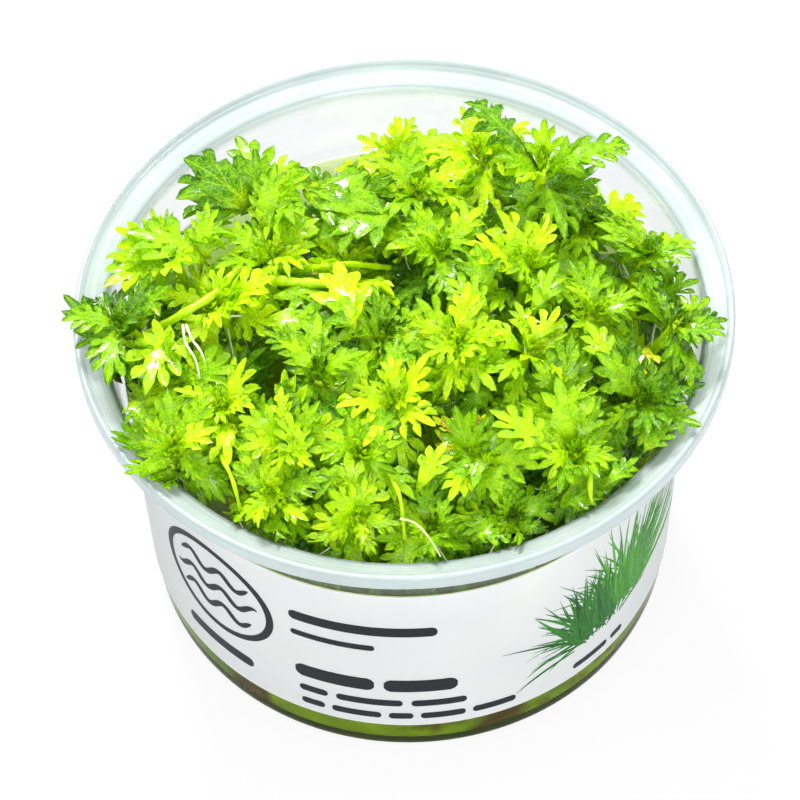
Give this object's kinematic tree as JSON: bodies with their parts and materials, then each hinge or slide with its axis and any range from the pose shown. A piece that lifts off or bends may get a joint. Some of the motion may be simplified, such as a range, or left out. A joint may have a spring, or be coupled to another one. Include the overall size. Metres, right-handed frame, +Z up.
{
  "type": "water violet in a clear growing cup",
  "caption": "Submersed aquarium plant with rosettes of lobed leaves on forked stems, rooted in gel in a clear flanged cup with a paper label round its wall.",
  "frame": {"origin": "middle of the cup's flat base, where it rests", "axes": "+Z up along the cup's axis, -Y towards the front of the label, +X to the viewer's right"},
  "size_m": [0.1016, 0.1, 0.075],
  "materials": {
    "clear_plastic": "gloss",
    "label_paper": "satin",
    "gel": "gloss",
    "stem": "satin",
    "leaf": "satin"
  },
  "bodies": {
    "root": {"cup": "clear_plastic", "label": "label_paper", "nutrient_gel": "gel", "stem_01": "stem", "stem_02": "stem", "stem_03": "stem", "stem_04": "stem", "stem_05": "stem", "stem_06": "stem", "stem_07": "stem", "stem_08": "stem", "stem_09": "stem", "stem_10": "stem", "stem_11": "stem", "stem_12": "stem", "stem_13": "stem", "stem_14": "stem", "stem_15": "stem", "stem_16": "stem", "stem_17": "stem", "stem_18": "stem", "stem_19": "stem", "stem_20": "stem", "stem_21": "stem", "leaf_rosette_01": "leaf", "leaf_rosette_02": "leaf", "leaf_rosette_03": "leaf", "leaf_rosette_04": "leaf", "leaf_rosette_05": "leaf", "leaf_rosette_06": "leaf", "leaf_rosette_07": "leaf", "leaf_rosette_08": "leaf", "leaf_rosette_09": "leaf", "leaf_rosette_10": "leaf", "leaf_rosette_11": "leaf", "leaf_rosette_12": "leaf", "leaf_rosette_13": "leaf", "leaf_rosette_14": "leaf", "leaf_rosette_15": "leaf", "leaf_rosette_16": "leaf", "leaf_rosette_17": "leaf", "leaf_rosette_18": "leaf", "leaf_rosette_19": "leaf", "leaf_rosette_20": "leaf", "leaf_rosette_21": "leaf", "leaf_rosette_22": "leaf", "leaf_rosette_23": "leaf", "leaf_rosette_24": "leaf", "leaf_rosette_25": "leaf", "leaf_rosette_26": "leaf", "leaf_rosette_27": "leaf", "leaf_rosette_28": "leaf", "leaf_rosette_29": "leaf", "leaf_rosette_30": "leaf", "leaf_rosette_31": "leaf", "leaf_rosette_32": "leaf", "leaf_rosette_33": "leaf", "leaf_rosette_34": "leaf", "leaf_rosette_35": "leaf"}
  },
  "joints": []
}
